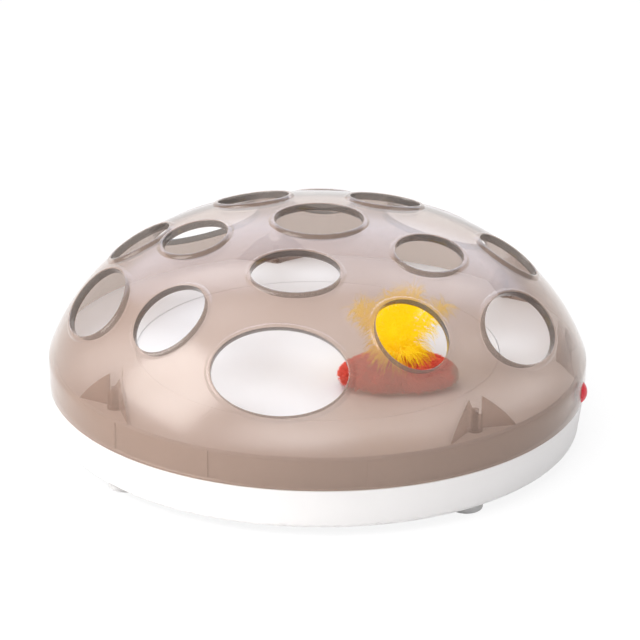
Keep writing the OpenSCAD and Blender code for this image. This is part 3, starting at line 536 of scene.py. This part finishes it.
# A battery cell: steel ends, and a bare jacket with a copper band at the cap's end
def cellJacket(name, capY):
    cell = {"cap": 2.2 * mm, "floor": 49.4 * mm, "band": 14 * mm, "steel": (0.74, 0.75, 0.77),
            "jacket": (0.035, 0.04, 0.05), "copper": (0.62, 0.4, 0.16), "worn": (0.3, 0.3, 0.3)}
    finish = Finish(name)
    y = finish.axes()[1]
    toCap = (y - capY) * (-1 if capY > 0 else 1)  # distance from the cap's tip
    steel = ((toCap < cell["cap"]) + (toCap > cell["floor"])).held()
    scuff = finish.noise(180, 4, stretch=(1, 0.2, 1))
    body = finish.blendColour(toCap < cell["band"], cell["jacket"], cell["copper"])
    tone = finish.blendColour(steel, finish.blendColour(scuff * 0.3, body, cell["worn"]), cell["steel"])
    return finish.done(finish.solid(colour=tone, metal=steel, roughness=0.3 + 0.15 * scuff,
                                    normal=finish.bump(scuff, 0.04 * mm, 0.3)))


def boardLaminate(name):  # green weave with small tinned pads
    finish = Finish(name)
    weave = finish.add("ShaderNodeTexBrick", sockets={
        "Vector": finish.place, "Scale": 900.0, "Color1": (0.03, 0.2, 0.09), "Color2": (0.025, 0.16, 0.075),
        "Mortar": (0.05, 0.26, 0.12)}, out="Color")
    spots = finish.add("ShaderNodeTexVoronoi", sockets={"Vector": finish.place, "Scale": 260.0},
                       out="Distance")
    pads = spots < 0.14
    tone = finish.blendColour(pads, weave, (0.78, 0.72, 0.6))
    return finish.done(finish.solid(colour=tone, metal=pads, roughness=0.32 + 0.1 * finish.noise(300),
                                    normal=finish.bump(finish.noise(700), 0.05 * mm, 0.3)))


def leadJacket(name, colour):
    finish = Finish(name)
    soft = finish.noise(400, 3)
    tone = finish.blendColour(soft, colour, dimmed(colour, 0.7))
    return finish.done(finish.solid(colour=tone, roughness=0.32 + 0.15 * soft,
                                    normal=finish.bump(finish.noise(900, 2), 0.05 * mm, 0.3)))


def rubber(name, colour):
    finish = Finish(name)
    dust = finish.noise(90, 5)
    tone = finish.blendColour(dust, colour, dimmed(colour, 0.84))
    return finish.done(finish.solid(colour=tone, roughness=0.62 + 0.2 * (dust - 0.5),
                                    normal=finish.bump(finish.noise(1500, 3), 0.08 * mm, 0.4)))


# Plush pile, paler and greyer past tipAt along the pad: partly the pad's own paler end, partly painted shade on
# it
def pileFibre(name, colour, deep, pale, tipAt):
    edge, ragged = 5 * mm, 12 * mm  # the width of the change, and how far it wanders
    finish = Finish(name)
    x, y, _ = finish.axes()
    along = x * cos(lure["turn"]) + y * sin(lure["turn"])
    end = ((along - tipAt) * (1 / edge) + (ragged / edge) * (finish.noise(350) - 0.5)).held()
    tone = finish.blendColour(finish.noise(420, 3), colour, deep)
    tone = finish.blendColour(end, tone, pale)
    return finish.done(finish.solid(colour=tone, roughness=0.75 + 0.1 * finish.noise(800), sheen=0.5,
                                    sheenRoughness=0.4, normal=finish.bump(finish.noise(2500), 0.1 * mm, 0.4)))


# Dyed feather, which lets light through, with a painted glow in its own colour and painted shade that darkens it
# towards the bottom
def featherFibre(name, colour, deep, lowZ, highZ):
    # blotch: random darker patches; glow: painted glow, an emission share in the feather's colour; through: the
    # share of light let through
    dyeAndPaintedGlow = {"blotch": 0.3, "glow": 0.28, "through": 0.4}
    finish = Finish(name)
    z = finish.axes()[2]
    # painted shade: the deep colour at lowZ, rising to the full colour at highZ; the deep colour also tints
    # random blotches
    paintedShadeFade = ((z - lowZ) / (highZ - lowZ)).held()
    tone = finish.blendColour(paintedShadeFade, deep, colour)
    tone = finish.blendColour(finish.noise(160, 3) * dyeAndPaintedGlow["blotch"], tone, deep)
    # painted glow: emission in the feather's own colour
    body = finish.solid(colour=tone, roughness=0.7 + 0.1 * finish.noise(600), sheen=0.3, sheenRoughness=0.5,
                        glow=tone, glowStrength=dyeAndPaintedGlow["glow"])
    through = finish.add("ShaderNodeBsdfTranslucent", sockets={"Color": colour})
    return finish.done(finish.mixShader(dyeAndPaintedGlow["through"], body, through))


def finishNodes(finishes):  # by a node's name where its finish is its own, or else by its slot's
    special = {"battery_cell_1": "cell_up", "battery_cell_2": "cell_down", "battery_cell_3": "cell_up",
               "deck": "deck_white", "turntable": "deck_white"}
    for name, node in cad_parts.items():
        for slot in node.material_slots:
            key = special.get(name) or slot.material.name.split(".")[0]
            if key in finishes:
                slot.material = finishes[key]


# A small rounded edge on the turntable, which narrows its running gap
def turntableLip(finish):
    section = [(83.7, 36.2), (84.45, 36.2), (84.62, 36.5), (84.62, 37.1), (84.5, 37.32), (84.25, 37.42),
               (83.7, 37.42)]
    lip = spun("turntable_lip", [(r * mm, z * mm) for r, z in section], dome["steps"])
    lip.data.materials.append(finish)
    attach(lip, "turntable")


# The lure: where it stands, and the pad's half length and width and its height
lure = {"at": Vector((43.1, -38.8, 0)) * mm, "turn": radians(12), "low": 38.95 * mm, "halfLen": 25.6 * mm,
        "halfWide": 12.6 * mm, "high": 14.2 * mm}


def fibrePiece(name, strands, depth):  # thin tapering tubes along lists of points
    curve = bpy.data.curves.new(name, "CURVE")
    curve.dimensions = "3D"
    curve.bevel_depth = depth
    curve.bevel_resolution = 0
    for points, thick in strands:
        spline = curve.splines.new("POLY")
        spline.points.add(len(points) - 1)
        for place, point, share in zip(spline.points, points, thick):
            place.co = (*point, 1)
            place.radius = share
    holder = bpy.data.objects.new(name + "Curve", curve)
    bpy.context.scene.collection.objects.link(holder)
    mesh = bpy.data.meshes.new_from_object(holder.evaluated_get(bpy.context.evaluated_depsgraph_get()))
    bpy.data.objects.remove(holder)
    bpy.data.curves.remove(curve)
    mesh.polygons.foreach_set("use_smooth", [True] * len(mesh.polygons))
    piece = bpy.data.objects.new(name, mesh)
    bpy.context.scene.collection.objects.link(piece)
    return piece


def padPlace():
    return Matrix.Translation(lure["at"] + Vector((0, 0, lure["low"]))) @ Matrix.Rotation(lure["turn"], 4, "Z")


def plumped(piece, reach, voxel):  # swells a pad by cloth pressure, each point by no more than reach
    push = {"pressure": 4, "quality": 5, "frames": 20}
    skin = piece.modifiers.new("skin", "REMESH")
    skin.mode = "VOXEL"
    skin.voxel_size = voxel
    takeShape(piece)
    before = [v.co.copy() for v in piece.data.vertices]
    cloth = piece.modifiers.new("plump", "CLOTH")
    cloth.settings.use_pressure = True
    cloth.settings.uniform_pressure_force = push["pressure"]
    cloth.settings.effector_weights.gravity = 0
    cloth.settings.quality = push["quality"]
    for step in range(push["frames"]):
        bpy.context.scene.frame_set(step + 1)
    swollen = piece.evaluated_get(bpy.context.evaluated_depsgraph_get())
    after = [v.co.copy() for v in swollen.to_mesh().vertices]
    swollen.to_mesh_clear()
    piece.modifiers.clear()
    bpy.context.scene.frame_set(1)
    for v, old, new in zip(piece.data.vertices, before, after):
        move = new - old
        if move.length > reach:
            move *= reach / move.length
        v.co = old + move
    smooth = piece.modifiers.new("smooth", "SUBSURF")
    smooth.levels = smooth.render_levels = 1
    takeShape(piece)
    piece.data.polygons.foreach_set("use_smooth", [True] * len(piece.data.polygons))


def padBody():  # a rounded bolster, flat below, with a slight waist
    pad = {"round": 0.8, "flat": -0.62, "waist": 0.06, "uneven": 0.03, "lumps": 2.2, "droop": 0.12,
           "swell": 1.0 * mm, "voxel": 1.3 * mm}
    shape = bmesh.new()
    bmesh.ops.create_icosphere(shape, subdivisions=5, radius=1)
    for v in shape.verts:
        x, y, z = v.co
        x = abs(x) ** pad["round"] * (1 if x > 0 else -1)
        lump = meshNoise.noise(Vector((x, y, z)) * pad["lumps"])
        wide = 1 - pad["waist"] * cos(3 * pi * x) + pad["uneven"] * lump
        high = (max(z, pad["flat"]) - pad["flat"]) / (1 - pad["flat"]) * lure["high"]
        v.co = (x * lure["halfLen"], y * lure["halfWide"] * wide, high * (1 - pad["droop"] * x * x))
    bmesh.ops.transform(shape, matrix=padPlace(), verts=shape.verts)
    body = meshPiece("plush_pad", shape)
    plumped(body, pad["swell"], pad["voxel"])
    for v in body.data.vertices:
        v.co.z = max(v.co.z, lure["low"])
    return body


def padHairs(body):  # short hairs, combed out from the pad's middle
    hair = {"count": 6500, "long": 2.3 * mm, "spread": (0.6, 1.15), "thick": (1.0, 0.85, 0.35), "under": -0.75,
            "stray": 0.28, "comb": 0.75, "combX": 1.2, "combY": 0.5, "combDown": -4 * mm, "droop": 0.25,
            "rootIn": 0.3 * mm, "floorIn": 0.2 * mm}
    dice = random.Random(11)
    faces = [f for f in body.data.polygons if f.normal.z > hair["under"]]
    place = padPlace()
    back = place.inverted()
    strands = []
    for face in dice.choices(faces, [f.area for f in faces], k=hair["count"]):
        corners = [body.data.vertices[i].co for i in face.vertices]
        shares = [dice.random() for _ in corners]
        root = sum((c * w for c, w in zip(corners, shares)), Vector()) / sum(shares)
        local = back @ root
        comb = Vector((local.x * hair["combX"], local.y * hair["combY"], hair["combDown"])).normalized()
        comb = (place.to_3x3() @ comb) * hair["comb"]
        stray = Vector([dice.gauss(0, hair["stray"]) for _ in range(3)])
        way = (face.normal + comb + stray).normalized()
        length = hair["long"] * dice.uniform(*hair["spread"])
        droop = Vector((0, 0, -hair["droop"])) * length
        points = [root - way * hair["rootIn"], root + way * length * 0.45,
                  root + (way + comb * 0.3) * length * 0.85 + droop * 0.5]
        for point in points:
            point.z = max(point.z, lure["low"] - hair["floorIn"])
        strands.append((points, hair["thick"]))
    return strands


def plushPad():
    body = padBody()
    pile = fibrePiece("plush_pile", padHairs(body), 0.17 * mm)
    # the third colour is the end's: partly its own paler colour, partly painted shade
    finish = pileFibre("coralPile", (0.95, 0.2, 0.13), (0.78, 0.06, 0.04), (0.6, 0.46, 0.4), 56.5 * mm)
    for piece in (body, pile):
        piece.data.materials.append(finish)
        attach(piece, "turntable")
    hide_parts("lure_pad")
    print("plush pad made,", len(pile.data.polygons), "faces of pile")


# A marabou plume: curved quills with soft barbs all round, and barbs that fall over the pad
def marabouTuft():
    tuft = {"quills": 20, "barbs": 165, "fall": 420, "thick": 0.115 * mm, "lean": Vector((-0.14, 0.8, 1.0)),
            "quillLen": 33 * mm, "quillSteps": 6, "foot": lure["at"] + Vector((0, 0, 53.2 * mm)),
            "footR": 1.6 * mm, "clear": 7 * mm, "sway": 0.14, "fallThick": 1.5}
    quillThick = [2.4, 2.2, 2.0, 1.7, 1.3, 1.0, 0.7]
    barbThick = [1, 1, 0.9, 0.8, 0.65, 0.5, 0.3]
    dice = random.Random(5)
    pad = padPlace()
    back = pad.inverted()
    half = Vector((lure["halfLen"] + 1.2 * mm, lure["halfWide"] + 1.2 * mm, lure["high"] + 1.0 * mm))

    def kept(point):  # out of the pad and clear of the dome
        local = back @ point
        share = (local.x / half.x) ** 2 + (local.y / half.y) ** 2 + (max(local.z, 0) / half.z) ** 2
        if share < 1:
            local *= 1 / max(share, 0.05) ** 0.5
            point = pad @ local
        off, out = overDome(point)
        return point - out * max(off + tuft["clear"], 0)

    def barb(root, way, length, weight):  # the points of one barb, which sways and sinks on its way
        points, bends = [root], len(barbThick) - 1
        for i in range(bends):
            sway = Vector([dice.gauss(0, tuft["sway"]) for _ in range(3)])
            way = (way + sway + Vector((0, 0, -weight)) * (i + 1) / bends).normalized()
            points.append(kept(points[-1] + way * (length / bends)))
        return points

    strands = []
    for n in range(tuft["quills"]):
        turn = 2 * pi * (n + dice.random()) / tuft["quills"]
        spread = Vector((cos(turn), sin(turn) * 0.8, 0)) * dice.uniform(0.15, 0.75)
        way = (tuft["lean"] + spread).normalized()
        length = tuft["quillLen"] * dice.uniform(0.75, 1.0)
        quill = [tuft["foot"] + Vector((cos(turn), sin(turn), 0)) * tuft["footR"]]
        for _ in range(tuft["quillSteps"]):
            way = (way + spread * 0.1 + Vector((0, 0, -0.06))).normalized()
            quill.append(quill[-1] + way * length / tuft["quillSteps"])
        strands.append((quill, quillThick))
        for _ in range(tuft["barbs"]):
            at = dice.random() ** 0.8 * (tuft["quillSteps"] - 0.001)
            i = int(at)
            root = quill[i].lerp(quill[i + 1], at - i)
            along = (quill[i + 1] - quill[i]).normalized()
            turned = dice.uniform(0, 2 * pi)
            side = along.orthogonal().normalized()
            side.rotate(Matrix.Rotation(turned, 3, along))
            out = (side + along * dice.uniform(0.1, 0.9)).normalized()
            strands.append((barb(root, out, dice.uniform(7, 12.5) * mm * (1 - 0.05 * at), 0.22), barbThick))
    for _ in range(tuft["fall"]):
        turn = dice.uniform(0, 2 * pi)
        root = tuft["foot"] + Vector((cos(turn), sin(turn), 0.4)) * dice.uniform(0.5, 3.5) * mm
        way = Vector((cos(turn) * 1.1, sin(turn), dice.uniform(0.25, 0.9)))
        points = barb(root, way.normalized(), dice.uniform(11, 18) * mm, 0.5)
        strands.append((points, [tuft["fallThick"] * share for share in barbThick]))
    piece = fibrePiece("marabou_tuft", strands, tuft["thick"])
    # the second colour is the painted shade low in the tuft, and the blotches' colour
    finish = featherFibre("marabou", (1.0, 0.88, 0.006), (0.72, 0.4, 0.02), 47 * mm, 61 * mm)
    piece.data.materials.append(finish)
    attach(piece, "turntable")
    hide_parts("lure_feathers")
    print("marabou made,", len(piece.data.polygons), "faces")


placeCamera()
lightStudio()
layFloor()
finishes = {
    "white_plastic": mouldedPlastic("whitePlastic", (0.9, 0.885, 0.87), through=0.2),
    "deck_white": mouldedPlastic("deckWhite", (0.9, 0.915, 0.94), 0.42, through=0.2),
    "gear_nylon": mouldedPlastic("gearNylon", (0.86, 0.85, 0.78), 0.42, through=0.25),
    "gearbox_plastic": mouldedPlastic("gearboxPlastic", (0.62, 0.62, 0.6), 0.45),
    "switch_plastic": mouldedPlastic("switchPlastic", (0.05, 0.05, 0.055), 0.4),
    "button_red": mouldedPlastic("buttonRed", (0.66, 0.012, 0.03), 0.28),
    "pinion_brass": metal("pinionBrass", (0.82, 0.62, 0.3)),
    "bright_steel": metal("brightSteel", (0.78, 0.79, 0.8), 0.22),
    "motor_steel": metal("motorSteel", (0.62, 0.63, 0.65), 0.3),
    "cell_up": cellJacket("cellJacketUp", 0.0284),
    "cell_down": cellJacket("cellJacketDown", -0.0284),
    "board_laminate": boardLaminate("boardLaminate"),
    "lead_red": leadJacket("leadRed", (0.6, 0.02, 0.02)),
    "lead_black": leadJacket("leadBlack", (0.02, 0.02, 0.022)),
    "foot_rubber": rubber("footRubber", (0.62, 0.61, 0.6)),
}
finishNodes(finishes)
print("CAD nodes finished")
makeDome()
turntableLip(finishes["deck_white"])
plushPad()
marabouTuft()
